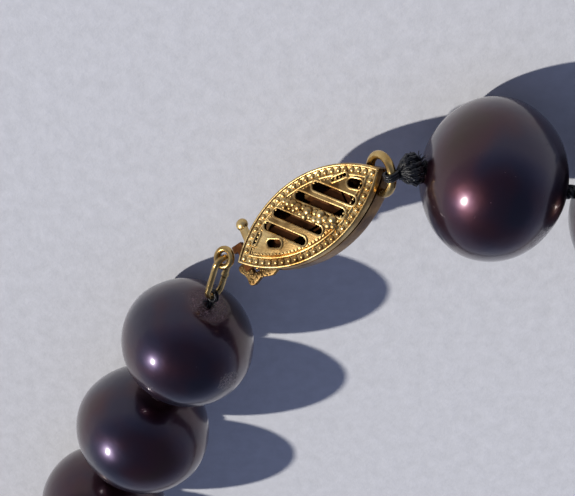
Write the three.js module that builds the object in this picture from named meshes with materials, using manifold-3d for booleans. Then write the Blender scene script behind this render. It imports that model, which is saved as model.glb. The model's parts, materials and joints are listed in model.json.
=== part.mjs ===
// A knotted strand of black cultured pearls, closed by a gold-plated fish-hook clasp.
// The strand lies on a table as one closed loop. Units are millimetres, +Z is up, and the
// origin is the centre of the bounding box's base, so every pearl rests on Z = 0.
import * as THREE from 'three';
import { mergeVertices } from 'three/addons/utils/BufferGeometryUtils.js';
import Module from 'manifold-3d';

// ---- driving dimensions ----
const PEARL_COUNT = 40;            // pearl_01 hangs on the hook, pearl_40 on the box ring
const PEARL_RADIUS = 5.05;         // half of a usual pearl across its drill axis
const PEARL_LARGEST = 5.6;         // half of pearl_40, the largest
const PEARL_SMALLEST = 4.9;        // half of pearl_01
const PEARL_SQUASH = 0.91;         // drill-axis length over diameter
const PEARL_FACETS = 12;           // facets round the drill axis, one edge straight down
const PEARL_BANDS = 8;             // facets from one drill hole to the other
const BORE_RADIUS = 0.42;
const KNOT_GAP = 0.8;              // room that a silk knot takes between two pearls

const CLASP_CENTRE = [-1.69, -8.27, 5.3];
const CLASP_HEADING = 43;          // degrees, from the ring end to the hook end
const CLASP_ROLL = 33.5;           // degrees that the clasp's face looks above level
const BOX_LENGTH = 13;
const BOX_WIDTH = 5.6;
const WALL = 0.35;
const FACE_TOP = 1.0;              // height of the pierced face above the seam
const BASE_BOTTOM = -1.45;         // depth of the plain base below the seam
const SEAM_GAP = 0.15;             // half of the seam between the two shells
const MOUTH_START = 3.65;          // where the open mouth begins, along the box
const MOUTH_TOP = 0.62;
const MOUTH_BOTTOM = -1.0;
const CATCH_BAR_RADIUS = 0.12;
const CATCH_BAR_LENGTH = 2.2;
const CATCH_BAR_AT = [2.75, -0.95]; // along the box, and height

const SLOT_ANGLE = 132;            // degrees between the box's length and a slot
const SLOT_WIDTH = 0.72;
const SLOT_PLACES = [              // centre along the box, and length
  [2.1, 3.4],
  [0.8, 4.1],
  [-1.3, 4.1],
  [-2.6, 3.4],
];

const STRIP = 0.35;                // thickness of the hook's sheet metal
const TONGUE_HALF_WIDTH = 0.8;
const TONGUE_INNER = -3;           // inner end, where the strip folds back
const TONGUE_OUTER = 6.3;
const NECK_OUTER = 6.62;           // the neck's end, just short of the eyelet
const NECK_HALF_WIDTH = 0.25;
const TONGUE_TOP = 0.42;
const LEAF_TOP = -0.45;
const PRESS_BAR_AT = [5.45, 6.05];  // the press bar's two edges along the box
const PRESS_BAR_ENDS = [-2.5, 0.8]; // and its two ends across it
const LUG_RADIUS = 0.48;
const LUG_HEIGHT = 0.6;
const LUG_AT = [5.75, -2.65];
const FOLD_GAP = 0.15;             // between pieces of the hook that touch in the real one
// The press tab's outline, like a vine leaf, that reaches round the end of the press bar.
const TAB_OUTLINE = [
  [4.2, 0.95], [6.2, 0.95], [6.35, -0.1], [6.95, -0.15], [7.25, -0.1], [7.38, 0.1], [7.3, 0.35],
  [7.08, 0.65], [6.98, 1.0], [7.02, 1.35], [6.9, 1.55], [6.57, 1.64], [6.2, 1.52], [5.86, 1.42],
  [5.4, 1.62], [4.96, 1.76], [4.55, 1.65], [4.2, 1.3],
];

const RING_RADIUS = 1.3;           // middle of the wire
const RING_AT = [-6.1, 0.15, 0];
const RING_TILT = 28;              // degrees that its outer side rises out of the face
const RING_SILK_AT = 35;           // degrees round the ring from its outer side to the silk
const WIRE_RADIUS = 0.3;
const EYELET_RADIUS = 0.62;
const EYELET_WIRE = 0.23;
const EYELET_AT = [7.6, -1.0, 0.25];

const LINK_HALF_WIDTH = 0.62;
const LINK_WIRE = 0.22;
const THREAD_LOOP = [0.42, 0.1];   // radius of a loop of thread round the wire, and its thread
const TOUCH_GAP = 0.15;            // room kept between the silk and what it touches

const HOOK_HOLE = [5.42, 0.5];     // pearl_01's drill hole, seen from above
const RING_HOLE = [-8.8, -13.2];   // pearl_40's drill hole
const SILK_KNOT_THICKNESS = 1.3;
const FIRST_HEADINGS = [67, 71, 68, 66];        // of pearl_01 on, from the hook
const LAST_HEADINGS = [-30, -27, -21, -13];     // of the last four, towards the box ring
const STRAND_TURN_END = -36 + 360;              // heading where the free lay ends

// ---- helpers ----
const wasm = await Module();
wasm.setup();

const radians = THREE.MathUtils.degToRad;

function toSolid(geometry) {
  const bare = geometry.index ? geometry.toNonIndexed() : geometry.clone();
  bare.deleteAttribute('normal');
  bare.deleteAttribute('uv');
  const merged = mergeVertices(bare, 1e-4);
  return new wasm.Manifold(new wasm.Mesh({
    numProp: 3,
    vertProperties: new Float32Array(merged.attributes.position.array),
    triVerts: new Uint32Array(merged.index.array),
  }));
}

function toGeometry(solid) {
  const mesh = solid.getMesh();
  const geometry = new THREE.BufferGeometry();
  geometry.setAttribute('position', new THREE.BufferAttribute(mesh.vertProperties, 3));
  geometry.setIndex(new THREE.BufferAttribute(mesh.triVerts, 1));
  return geometry;
}

const join = (...shapes) => toGeometry(shapes.map(toSolid).reduce((a, b) => a.add(b)));

function cut(shape, ...tools) {
  return toGeometry(tools.map(toSolid).reduce((a, b) => a.subtract(b), toSolid(shape)));
}

function block(low, high) {
  const size = high.map((v, i) => v - low[i]);
  const middle = high.map((v, i) => (v + low[i]) / 2);
  return new THREE.BoxGeometry(...size).translate(...middle);
}

function slab(shape, bottom, top, curveSegments = 8) {
  const settings = { depth: top - bottom, bevelEnabled: false, curveSegments };
  return new THREE.ExtrudeGeometry(shape, settings).translate(0, 0, bottom);
}

// A closed wire ring round Z.
function wireRing(radius, wire, sections = 8, turns = 20) {
  return new THREE.TorusGeometry(radius, wire, sections, turns);
}

// ---- finishes ----
const goldPlate = () => new THREE.MeshStandardMaterial({ color: 0xd9b166, roughness: 0.3, metalness: 1 });
const blackSilk = () => new THREE.MeshStandardMaterial({ color: 0x101014, roughness: 0.8, metalness: 0 });
const nacre = () => new THREE.MeshStandardMaterial({ color: 0x2a1c26, roughness: 0.15, metalness: 0.3 });

function part(name, geometry, material) {
  const mesh = new THREE.Mesh(geometry, material);
  mesh.name = name;
  return mesh;
}

// ---- the clasp's box: X along it towards the hook, Z out of its pierced face ----
// The outline is a marquise: two equal arcs that meet at the tips.
function marquise(length, width) {
  const half = length / 2;
  const rise = width / 2;
  const arcRadius = (half * half + rise * rise) / (2 * rise);
  const sweep = Math.asin(half / arcRadius);
  const shape = new THREE.Shape();
  shape.absarc(0, rise - arcRadius, arcRadius, Math.PI / 2 - sweep, Math.PI / 2 + sweep, false);
  shape.absarc(0, arcRadius - rise, arcRadius, -Math.PI / 2 - sweep, -Math.PI / 2 + sweep, false);
  return shape;
}

function slotCutter([along, length]) {
  const shape = new THREE.Shape();
  const run = (length - SLOT_WIDTH) / 2;
  shape.absarc(run, 0, SLOT_WIDTH / 2, -Math.PI / 2, Math.PI / 2, false);
  shape.absarc(-run, 0, SLOT_WIDTH / 2, Math.PI / 2, 1.5 * Math.PI, false);
  const cutter = slab(shape, FACE_TOP - 2 * WALL, FACE_TOP + WALL, 5);
  return cutter.rotateZ(radians(SLOT_ANGLE)).translate(along, 0, 0);
}

const mouth = () => block([MOUTH_START, -BOX_WIDTH, MOUTH_BOTTOM], [BOX_LENGTH, BOX_WIDTH, MOUTH_TOP]);
const inside = () => marquise(BOX_LENGTH - 4.4 * WALL, BOX_WIDTH - 2 * WALL);

// Room for the box ring, which passes round the ring end's tip.
function ringRoom() {
  const room = wireRing(RING_RADIUS, WIRE_RADIUS + 0.2, 8, 20);
  return placeRing(room);
}

function placeRing(geometry) {
  return geometry.rotateY(radians(RING_TILT)).translate(...RING_AT);
}

function upperShell() {
  const body = slab(marquise(BOX_LENGTH, BOX_WIDTH), SEAM_GAP, FACE_TOP, 12);
  const hollow = slab(inside(), -1, FACE_TOP - WALL, 10);
  return cut(body, hollow, mouth(), ringRoom(), ...SLOT_PLACES.map(slotCutter));
}

function lowerShell() {
  const body = slab(marquise(BOX_LENGTH, BOX_WIDTH), BASE_BOTTOM, -SEAM_GAP, 12);
  const hollow = slab(inside(), BASE_BOTTOM + WALL, 1, 10);
  return cut(body, hollow, mouth(), ringRoom());
}

// The bar that the hook catches on lies across the mouth, inside the lower shell.
function catchBar() {
  const bar = new THREE.CylinderGeometry(CATCH_BAR_RADIUS, CATCH_BAR_RADIUS, CATCH_BAR_LENGTH, 8);
  return bar.translate(CATCH_BAR_AT[0], 0, CATCH_BAR_AT[1]);
}

// ---- the hook: a tongue with an eyelet, and a sprung leaf with the press bar ----
function tongue() {
  const plate = block(
    [TONGUE_INNER, -TONGUE_HALF_WIDTH, TONGUE_TOP - STRIP],
    [TONGUE_OUTER, TONGUE_HALF_WIDTH, TONGUE_TOP],
  );
  // The outer end narrows to a neck that leads to the eyelet.
  const neckSide = EYELET_AT[1];
  const neck = block(
    [TONGUE_OUTER - 0.5, neckSide - NECK_HALF_WIDTH, TONGUE_TOP - STRIP],
    [NECK_OUTER, neckSide + NECK_HALF_WIDTH, TONGUE_TOP],
  );
  return join(plate, neck);
}

// The leaf folds down behind the tongue's inner end and runs back under it.
function springLeaf() {
  const foldStart = TONGUE_INNER - FOLD_GAP - STRIP;
  const fold = block(
    [foldStart, -TONGUE_HALF_WIDTH, LEAF_TOP - STRIP],
    [TONGUE_INNER - FOLD_GAP, TONGUE_HALF_WIDTH, TONGUE_TOP],
  );
  const leaf = block(
    [foldStart, -TONGUE_HALF_WIDTH, LEAF_TOP - STRIP],
    [PRESS_BAR_AT[0] - FOLD_GAP, TONGUE_HALF_WIDTH, LEAF_TOP],
  );
  return join(fold, leaf);
}

// The press bar crosses under the mouth, with a round lug on one side.
function pressBar() {
  const bar = block(
    [PRESS_BAR_AT[0], PRESS_BAR_ENDS[0], LEAF_TOP - STRIP],
    [PRESS_BAR_AT[1], PRESS_BAR_ENDS[1], LEAF_TOP],
  );
  const lug = new THREE.CylinderGeometry(LUG_RADIUS, LUG_RADIUS, LUG_HEIGHT, 10);
  lug.translate(...LUG_AT, LEAF_TOP - STRIP / 2);
  return join(bar, lug);
}

// On the other side a granulated tab.
function pressTab() {
  const leaf = new THREE.Shape(TAB_OUTLINE.map((place) => new THREE.Vector2(...place)));
  return slab(leaf, LEAF_TOP - STRIP, LEAF_TOP);
}

function claspPieces() {
  const box = [
    part('clasp_upper_shell', upperShell(), goldPlate()),
    part('clasp_lower_shell', lowerShell(), goldPlate()),
    part('clasp_catch_bar', catchBar(), goldPlate()),
    part('box_ring', placeRing(wireRing(RING_RADIUS, WIRE_RADIUS)), goldPlate()),
    part('hook_tongue', tongue(), goldPlate()),
    part('hook_spring_leaf', springLeaf(), goldPlate()),
    part('press_bar', pressBar(), goldPlate()),
    part('press_tab_leaf', pressTab(), goldPlate()),
  ];
  const eyelet = wireRing(EYELET_RADIUS, EYELET_WIRE, 8, 16).translate(...EYELET_AT);
  box.push(part('hook_eyelet', eyelet, goldPlate()));
  const clasp = new THREE.Group();
  clasp.add(...box);
  const length = new THREE.Vector3(Math.cos(radians(CLASP_HEADING)), Math.sin(radians(CLASP_HEADING)), 0);
  const level = new THREE.Vector3(length.y, -length.x, 0);
  const face = level.multiplyScalar(Math.cos(radians(CLASP_ROLL)));
  face.z = Math.sin(radians(CLASP_ROLL));
  const across = new THREE.Vector3().crossVectors(face, length);
  clasp.quaternion.setFromRotationMatrix(new THREE.Matrix4().makeBasis(length, across, face));
  clasp.position.set(...CLASP_CENTRE);
  clasp.updateMatrixWorld(true);
  return clasp;
}

// ---- the strand ----
const smooth = (t) => t * t * (3 - 2 * t);

// Cultured pearls differ a little. They grow towards the box ring over the last six.
function pearlRadius(i) {
  if (i === 0) return PEARL_SMALLEST;
  const growth = smooth(Math.max(0, (i - (PEARL_COUNT - 7)) / 6));
  const usual = PEARL_RADIUS + 0.1 * Math.sin(2.4 * i);
  return usual + (PEARL_LARGEST - usual) * growth;
}

const pearlHalfLength = (i) => pearlRadius(i) * (PEARL_SQUASH + 0.02 * Math.cos(1.7 * i));

// Headings of the drill axes. Between the first and the last few they turn smoothly, and
// two bends, p and q, are solved so that the strand ends at the box ring.
function headings(p, q) {
  const free = PEARL_COUNT - FIRST_HEADINGS.length - LAST_HEADINGS.length;
  const from = FIRST_HEADINGS.at(-1);
  const middle = Array.from({ length: free }, (_, i) => {
    const t = (i + 1) / (free + 1);
    const bend = p * Math.sin(Math.PI * t) + q * Math.sin(2 * Math.PI * t);
    return from + (STRAND_TURN_END - from) * t + bend;
  });
  return [...FIRST_HEADINGS, ...middle, ...LAST_HEADINGS.map((h) => h + 360)];
}

// Knot places and pearl centres, walked from the hook's end of the strand.
function walk(p, q) {
  const at = new THREE.Vector2(...HOOK_HOLE);
  const pearls = headings(p, q).map((heading, i) => {
    const axis = new THREE.Vector2(Math.cos(radians(heading)), Math.sin(radians(heading)));
    const centre = at.clone().addScaledVector(axis, pearlHalfLength(i));
    at.addScaledVector(axis, 2 * pearlHalfLength(i));
    const end = at.clone();
    at.addScaledVector(axis, KNOT_GAP);
    return { heading, centre, end, radius: pearlRadius(i), halfLength: pearlHalfLength(i) };
  });
  return pearls;
}

function miss(p, q) {
  const last = walk(p, q).at(-1).end;
  return last.sub(new THREE.Vector2(...RING_HOLE));
}

// Newton's method on the two bends.
function closeLoop() {
  const bends = [0, 0];
  const step = 0.5;
  for (let round = 0; round < 12; round += 1) {
    const here = miss(...bends);
    const byP = miss(bends[0] + step, bends[1]).sub(here).divideScalar(step);
    const byQ = miss(bends[0], bends[1] + step).sub(here).divideScalar(step);
    const det = byP.x * byQ.y - byQ.x * byP.y;
    bends[0] -= (here.x * byQ.y - byQ.x * here.y) / det;
    bends[1] -= (byP.x * here.y - here.x * byP.y) / det;
  }
  return walk(...bends);
}

// A drilled pearl is turned about its drill axis: the outside, then back down the bore.
function pearlGeometry(radius, halfLength) {
  const edge = Math.asin(BORE_RADIUS / radius);
  const points = [];
  for (let i = 0; i <= PEARL_BANDS; i += 1) {
    const angle = -Math.PI / 2 + edge + (Math.PI - 2 * edge) * (i / PEARL_BANDS);
    points.push(new THREE.Vector2(radius * Math.cos(angle), halfLength * Math.sin(angle)));
  }
  points.push(points[0].clone());
  return new THREE.LatheGeometry(points, PEARL_FACETS);
}

function pearl(i, { heading, centre, radius, halfLength }) {
  const name = `pearl_${String(i + 1).padStart(2, '0')}`;
  const mesh = part(name, pearlGeometry(radius, halfLength), nacre());
  mesh.position.set(centre.x, centre.y, radius);
  mesh.quaternion.setFromRotationMatrix(new THREE.Matrix4().makeBasis(
    new THREE.Vector3(Math.sin(radians(heading)), -Math.cos(radians(heading)), 0),
    new THREE.Vector3(Math.cos(radians(heading)), Math.sin(radians(heading)), 0),
    new THREE.Vector3(0, 0, 1),
  ));
  return mesh;
}

// ---- the ends: an oval wire link at the hook, and knotted silk at the box ring ----
// Turns a shape that lies along X so that it runs from one point towards another.
function between(geometry, from, to, upward) {
  const along = to.clone().sub(from).normalize();
  const side = upward.clone().cross(along).normalize();
  const up = along.clone().cross(side);
  return geometry.applyMatrix4(new THREE.Matrix4().makeBasis(along, side, up).setPosition(from));
}

// A ring of wire pulled long: its two halves move apart, and the wire between runs straight.
function ovalLink(length) {
  const ring = wireRing(LINK_HALF_WIDTH, LINK_WIRE, 8, 12).rotateZ(Math.PI / 12);
  const places = ring.attributes.position;
  const apart = length / 2 - LINK_HALF_WIDTH;
  for (let i = 0; i < places.count; i += 1) {
    places.setX(i, places.getX(i) + Math.sign(places.getX(i)) * apart);
  }
  return ring.rotateX(Math.PI / 2).translate(length / 2, 0, 0);
}

function hookEnd(clasp) {
  const face = new THREE.Vector3(0, 0, 1).applyQuaternion(clasp.quaternion);
  const eyelet = clasp.localToWorld(new THREE.Vector3(...EYELET_AT));
  const hole = new THREE.Vector3(...HOOK_HOLE, PEARL_SMALLEST);
  const room = THREAD_LOOP[0] + THREAD_LOOP[1] + TOUCH_GAP;
  const end = hole.clone().lerp(eyelet, room / hole.distanceTo(eyelet));
  const link = between(ovalLink(eyelet.distanceTo(end)), eyelet, end, face);
  const loop = between(wireRing(...THREAD_LOOP, 6, 12), end, hole, face);
  return [
    part('strand_link', link, goldPlate()),
    part('link_thread_loop', loop, blackSilk()),
  ];
}

// A point on the box ring's wire, and the wire's direction there, in the clasp's frame.
function ringWire(turn) {
  const outward = new THREE.Vector3(-Math.cos(turn), Math.sin(turn), 0);
  const way = new THREE.Vector3(Math.sin(turn), Math.cos(turn), 0);
  const tilt = new THREE.Matrix4().makeRotationY(radians(RING_TILT));
  const place = outward.multiplyScalar(RING_RADIUS).applyMatrix4(tilt).add(new THREE.Vector3(...RING_AT));
  return [place, way.applyMatrix4(tilt)];
}

function ringEnd(clasp) {
  const [place, way] = ringWire(radians(RING_SILK_AT));
  const wire = clasp.localToWorld(place);
  const across = way.applyQuaternion(clasp.quaternion);
  const hole = new THREE.Vector3(...RING_HOLE, PEARL_LARGEST);
  const room = THREAD_LOOP[0] + THREAD_LOOP[1] + TOUCH_GAP;
  const length = hole.distanceTo(wire) - room - TOUCH_GAP;
  const ball = new THREE.SphereGeometry(0.5, 12, 8).scale(length, SILK_KNOT_THICKNESS, SILK_KNOT_THICKNESS);
  return [
    part('ring_thread_loop', between(wireRing(...THREAD_LOOP, 6, 12), wire, hole, across), blackSilk()),
    part('silk_end_knot', between(ball.translate(room + length / 2, 0, 0), wire, hole, across), blackSilk()),
  ];
}

// ---- the whole necklace, moved so that its box's base is centred on the origin ----
const necklace = new THREE.Group();
const clasp = claspPieces();
necklace.add(clasp, ...hookEnd(clasp), ...ringEnd(clasp), ...closeLoop().map((place, i) => pearl(i, place)));
necklace.updateMatrixWorld(true);
const bounds = new THREE.Box3().setFromObject(necklace, true);
const middle = bounds.getCenter(new THREE.Vector3());
necklace.position.set(-middle.x, -middle.y, -bounds.min.z);

export default necklace;
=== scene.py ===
"""Looks of a knotted strand of black cultured pearls with a gold-plated fish-hook clasp.

Lengths in this script are millimetres until a mesh is finished, and metres after that.
"""
import json
import math

import bmesh
import bpy
import numpy as np
from mathutils import Matrix, Vector


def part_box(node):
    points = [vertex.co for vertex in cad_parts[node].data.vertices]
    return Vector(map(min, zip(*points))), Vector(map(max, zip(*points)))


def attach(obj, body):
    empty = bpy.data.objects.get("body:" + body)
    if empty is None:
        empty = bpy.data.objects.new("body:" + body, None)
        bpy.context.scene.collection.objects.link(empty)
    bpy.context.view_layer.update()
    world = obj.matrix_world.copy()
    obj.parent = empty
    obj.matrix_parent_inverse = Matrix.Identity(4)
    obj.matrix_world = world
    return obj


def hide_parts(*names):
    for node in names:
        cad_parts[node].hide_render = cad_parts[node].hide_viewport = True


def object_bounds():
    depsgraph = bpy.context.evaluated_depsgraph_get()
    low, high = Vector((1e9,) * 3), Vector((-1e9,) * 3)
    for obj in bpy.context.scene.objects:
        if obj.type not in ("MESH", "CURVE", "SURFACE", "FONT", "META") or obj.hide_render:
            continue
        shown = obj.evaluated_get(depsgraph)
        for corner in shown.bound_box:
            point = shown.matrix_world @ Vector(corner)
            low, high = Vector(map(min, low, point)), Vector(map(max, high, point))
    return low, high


MM = 0.001
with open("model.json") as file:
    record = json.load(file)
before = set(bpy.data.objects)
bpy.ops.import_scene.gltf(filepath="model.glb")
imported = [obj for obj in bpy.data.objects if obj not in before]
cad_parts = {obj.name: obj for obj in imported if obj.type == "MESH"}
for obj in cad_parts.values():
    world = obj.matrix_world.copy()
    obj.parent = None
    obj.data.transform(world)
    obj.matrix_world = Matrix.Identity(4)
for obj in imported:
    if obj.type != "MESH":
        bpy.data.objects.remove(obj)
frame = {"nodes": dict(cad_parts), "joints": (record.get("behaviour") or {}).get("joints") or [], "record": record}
cad_low, cad_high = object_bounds()

# ---- driving dimensions, in millimetres ----
PEARL_COUNT = 40
OPEN_KNOT = 20                # the knot at the far side, where the two runs of pearls meet
BORE_RADIUS = 0.42
BOX_LENGTH = 13.0
BOX_WIDTH = 5.6
SHELL_WALL = 0.28
SEAM = 0.15
BASE_DEPTH = 1.45             # of the box's back below its seam
RIM_TOP = 0.75
MOUTH_START = 3.65
MOUTH_BOTTOM = -1.0
MOUTH_TOP = 0.52
DOME_RISE = 0.3
DOME_REACH = (5.2, 2.2)       # half length and half width of the domed part
DOME_EDGE = 0.92              # distance from the outline where the dome begins
DOME_SINK = 0.05              # of the dome's edge below the rim
SLOT_WIDTH = 0.72
SLOT_ANGLE = math.radians(132)
SLOTS = [                     # the four long slots: middle along and across, and length
    (2.0, 0.22, 3.7),
    (0.7, 0.0, 4.3),
    (-1.4, -0.15, 4.3),
    (-2.7, -0.25, 3.7),
]
RING_RADIUS = 1.3
RING_WIRE = 0.3
RING_AT = (-6.1, 0.15, 0.0)
RING_TILT = math.radians(28)
RING_SILK_AT = math.radians(35)  # turn round the ring from its outer side to the silk
EYELET_RADIUS = 0.62
EYELET_WIRE = 0.23
EYELET_AT = (7.6, -1.0, 0.25)
LINK_HALF_WIDTH = 0.62
LINK_WIRE = 0.22


# ---- the clasp's own frame: X along it to the hook, Y across, Z out of its face ----
def joint(name):
    return next(j for j in frame["joints"] if j["name"] == name)


def clasp_frame():
    back = next(m for m in frame["record"]["mounts"] if m["name"] == "clasp_back")
    along = Vector(joint("clasp_release")["axis"]).normalized()
    face = -Vector(back["axis"])
    face = (face - along * face.dot(along)).normalized()
    across = face.cross(along)
    place = Matrix((along, across, face)).transposed().to_4x4()
    place.translation = Vector(back["pos_m"]) + face * BASE_DEPTH * MM
    return place


CLASP = clasp_frame()


# ---- mesh helpers ----
def new_mesh(name, points, faces):
    mesh = bpy.data.meshes.new(name)
    mesh.from_pydata([tuple(p) for p in points], [], faces)
    mesh.update()
    return mesh


def new_object(name, mesh):
    thing = bpy.data.objects.new(name, mesh)
    bpy.context.scene.collection.objects.link(thing)
    return thing


def clean(mesh, weld=1e-4):
    work = bmesh.new()
    work.from_mesh(mesh)
    bmesh.ops.remove_doubles(work, verts=work.verts, dist=weld)
    bmesh.ops.dissolve_degenerate(work, edges=work.edges, dist=weld / 10)
    bmesh.ops.recalc_face_normals(work, faces=work.faces)
    work.to_mesh(mesh)
    work.free()
    return mesh


def smooth(mesh, angle):
    """Smooth shading that stays sharp where faces meet at more than an angle in degrees."""
    mesh.shade_smooth()
    mesh.set_sharp_from_angle(angle=math.radians(angle))
    return mesh


def merge(name, meshes):
    work = bmesh.new()
    for mesh in meshes:
        work.from_mesh(mesh)
    made = bpy.data.meshes.new(name)
    work.to_mesh(made)
    work.free()
    return made


def loft(name, rings):
    """Joins equal closed rings of points, one after the other, and the last to the first."""
    count = len(rings[0])
    points = [p for ring in rings for p in ring]
    faces = []
    for i in range(len(rings)):
        a, b = i * count, ((i + 1) % len(rings)) * count
        for k in range(count):
            n = (k + 1) % count
            faces.append((a + k, a + n, b + n, b + k))
    return clean(new_mesh(name, points, faces))


def tube(points, radius, sides=8, closed=False):
    """A round tube along a list of points, with closed ends or closed on itself."""
    path = np.array(points, float)
    count = len(path)
    if closed:
        tangents = np.roll(path, -1, 0) - np.roll(path, 1, 0)
    else:
        tangents = np.gradient(path, axis=0)
    tangents /= np.linalg.norm(tangents, axis=1)[:, None]
    normal = np.cross(tangents[0], (0.3, 0.5, 0.81))
    normals = []
    for t in tangents:
        normal = normal - t * normal.dot(t)
        normal = normal / np.linalg.norm(normal)
        normals.append(normal)
    turn = 0.0
    if closed:  # spreads the frame's twist, so that the last ring meets the first
        end = normals[-1] - tangents[0] * normals[-1].dot(tangents[0])
        side = np.cross(tangents[0], normals[0])
        turn = math.atan2(end.dot(side), end.dot(normals[0]))
    rings = []
    for i in range(count):
        side = np.cross(tangents[i], normals[i])
        angles = np.linspace(0, 2 * math.pi, sides, endpoint=False) - turn * i / count
        rings.append([path[i] + radius * (math.cos(a) * normals[i] + math.sin(a) * side) for a in angles])
    verts = [p for ring in rings for p in ring]
    faces = []
    for i in range(count if closed else count - 1):
        a, b = i * sides, ((i + 1) % count) * sides
        faces += [(a + k, a + (k + 1) % sides, b + (k + 1) % sides, b + k) for k in range(sides)]
    if not closed:
        faces.append(tuple(range(sides)))
        faces.append(tuple(reversed(range((count - 1) * sides, count * sides))))
    return clean(new_mesh("tube", verts, faces))


def torus(radius, wire, turns=72, sides=20):
    angles = np.linspace(0, 2 * math.pi, turns, endpoint=False)
    return tube([(radius * math.cos(a), radius * math.sin(a), 0) for a in angles], wire, sides, True)


def ball(radius, at=(0, 0, 0), scale=(1, 1, 1), segments=16, rings=10):
    work = bmesh.new()
    bmesh.ops.create_uvsphere(work, u_segments=segments, v_segments=rings, radius=radius)
    bmesh.ops.scale(work, vec=scale, verts=work.verts)
    bmesh.ops.translate(work, vec=at, verts=work.verts)
    mesh = bpy.data.meshes.new("ball")
    work.to_mesh(mesh)
    work.free()
    return mesh


def prism(outline, bottom, top):
    """A flat solid between two heights."""
    count = len(outline)
    points = [(x, y, z) for z in (bottom, top) for x, y in outline]
    faces = [(k, (k + 1) % count, count + (k + 1) % count, count + k) for k in range(count)]
    faces += [tuple(reversed(range(count))), tuple(range(count, 2 * count))]
    return clean(new_mesh("prism", points, faces), 1e-6)


def evaluated_copy(thing, name):
    """The plain mesh of an object with its modifiers, which are then removed."""
    bpy.context.view_layer.update()
    graph = bpy.context.evaluated_depsgraph_get()
    mesh = bpy.data.meshes.new_from_object(thing.evaluated_get(graph))
    mesh.name = name
    thing.modifiers.clear()
    return mesh


def cut(mesh, cutters):
    """Takes every cutter away from a mesh by an exact boolean."""
    body = new_object("cut_body", mesh)
    tools = []
    for cutter in cutters:
        tool = new_object("cut_tool", cutter)
        tools.append(tool)
        step = body.modifiers.new("cut", "BOOLEAN")
        step.operation = "DIFFERENCE"
        step.solver = "EXACT"
        step.object = tool
    made = evaluated_copy(body, mesh.name + "_cut")
    for thing in tools + [body]:
        bpy.data.objects.remove(thing)
    return made


def bevel(mesh, width, segments):
    """Rounds the edges where faces meet at more than 30 degrees."""
    body = new_object("bevel_body", mesh)
    step = body.modifiers.new("bevel", "BEVEL")
    step.width = width
    step.segments = segments
    step.limit_method = "ANGLE"
    step.angle_limit = math.radians(30)
    made = evaluated_copy(body, mesh.name)
    bpy.data.objects.remove(body)
    return made


def finish_piece(name, mesh, material, body, replaced=(), place=None):
    """Puts a millimetre mesh in its place, in metres, and gives it its body and slot."""
    scale = Matrix.Scale(MM, 4)
    mesh.transform((place @ scale) if place else scale)
    if material is not None:
        mesh.materials.clear()
        mesh.materials.append(material)
    mesh.name = name
    piece = new_object(name, mesh)
    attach(piece, body)
    if replaced:
        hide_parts(*replaced)
    return piece


# ---- node helpers ----
def add(tree, kind, inputs=(), settings=()):
    """Adds a node. inputs maps a socket's name or number to a value or another node's socket."""
    made = tree.nodes.new(kind)
    for key, value in dict(settings).items():
        setattr(made, key, value)
    for key, value in dict(inputs).items():
        socket = made.inputs[key]
        if isinstance(value, bpy.types.NodeSocket):
            tree.links.new(value, socket)
        else:
            socket.default_value = value
    return made


def linear(hexcode):
    """A linear colour from an sRGB hex code."""
    out = []
    for i in (0, 2, 4):
        c = int(hexcode[i:i + 2], 16) / 255
        out.append(c / 12.92 if c <= 0.04045 else ((c + 0.055) / 1.055) ** 2.4)
    return (*out, 1.0)


def new_material(name):
    material = bpy.data.materials.new(name)
    material.use_nodes = True
    tree = material.node_tree
    tree.nodes.clear()
    shader = add(tree, "ShaderNodeBsdfPrincipled")
    add(tree, "ShaderNodeOutputMaterial", {"Surface": shader.outputs[0]})
    return material, tree, shader


def ramp(tree, value, stops):
    """A colour by a value: each stop is a place and its colour."""
    made = add(tree, "ShaderNodeValToRGB", {0: value})
    points = made.color_ramp.elements
    while len(points) < len(stops):
        points.new(0.5)
    for point, (at, colour) in zip(points, stops):
        point.position = at
        point.color = colour
    return made.outputs[0]


def mix(tree, factor, a, b, blend="MIX"):
    settings = {"data_type": "RGBA", "blend_type": blend}
    return add(tree, "ShaderNodeMix", {0: factor, 6: a, 7: b}, settings).outputs[2]


def calc(tree, operation, *values):
    """One step of arithmetic on numbers or on other nodes' sockets."""
    return add(tree, "ShaderNodeMath", dict(enumerate(values)), {"operation": operation}).outputs[0]


def bump(tree, strength, depth, height, below=None, invert=False):
    """A relief of a depth in millimetres, laid over the one below it."""
    inputs = {"Strength": strength, "Distance": depth * MM, "Height": height}
    if below is not None:
        inputs["Normal"] = below
    return add(tree, "ShaderNodeBump", inputs, {"invert": invert}).outputs[0]


# ---- finishes ----
BLACK = (0, 0, 0, 1)
WHITE = (1, 1, 1, 1)


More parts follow.
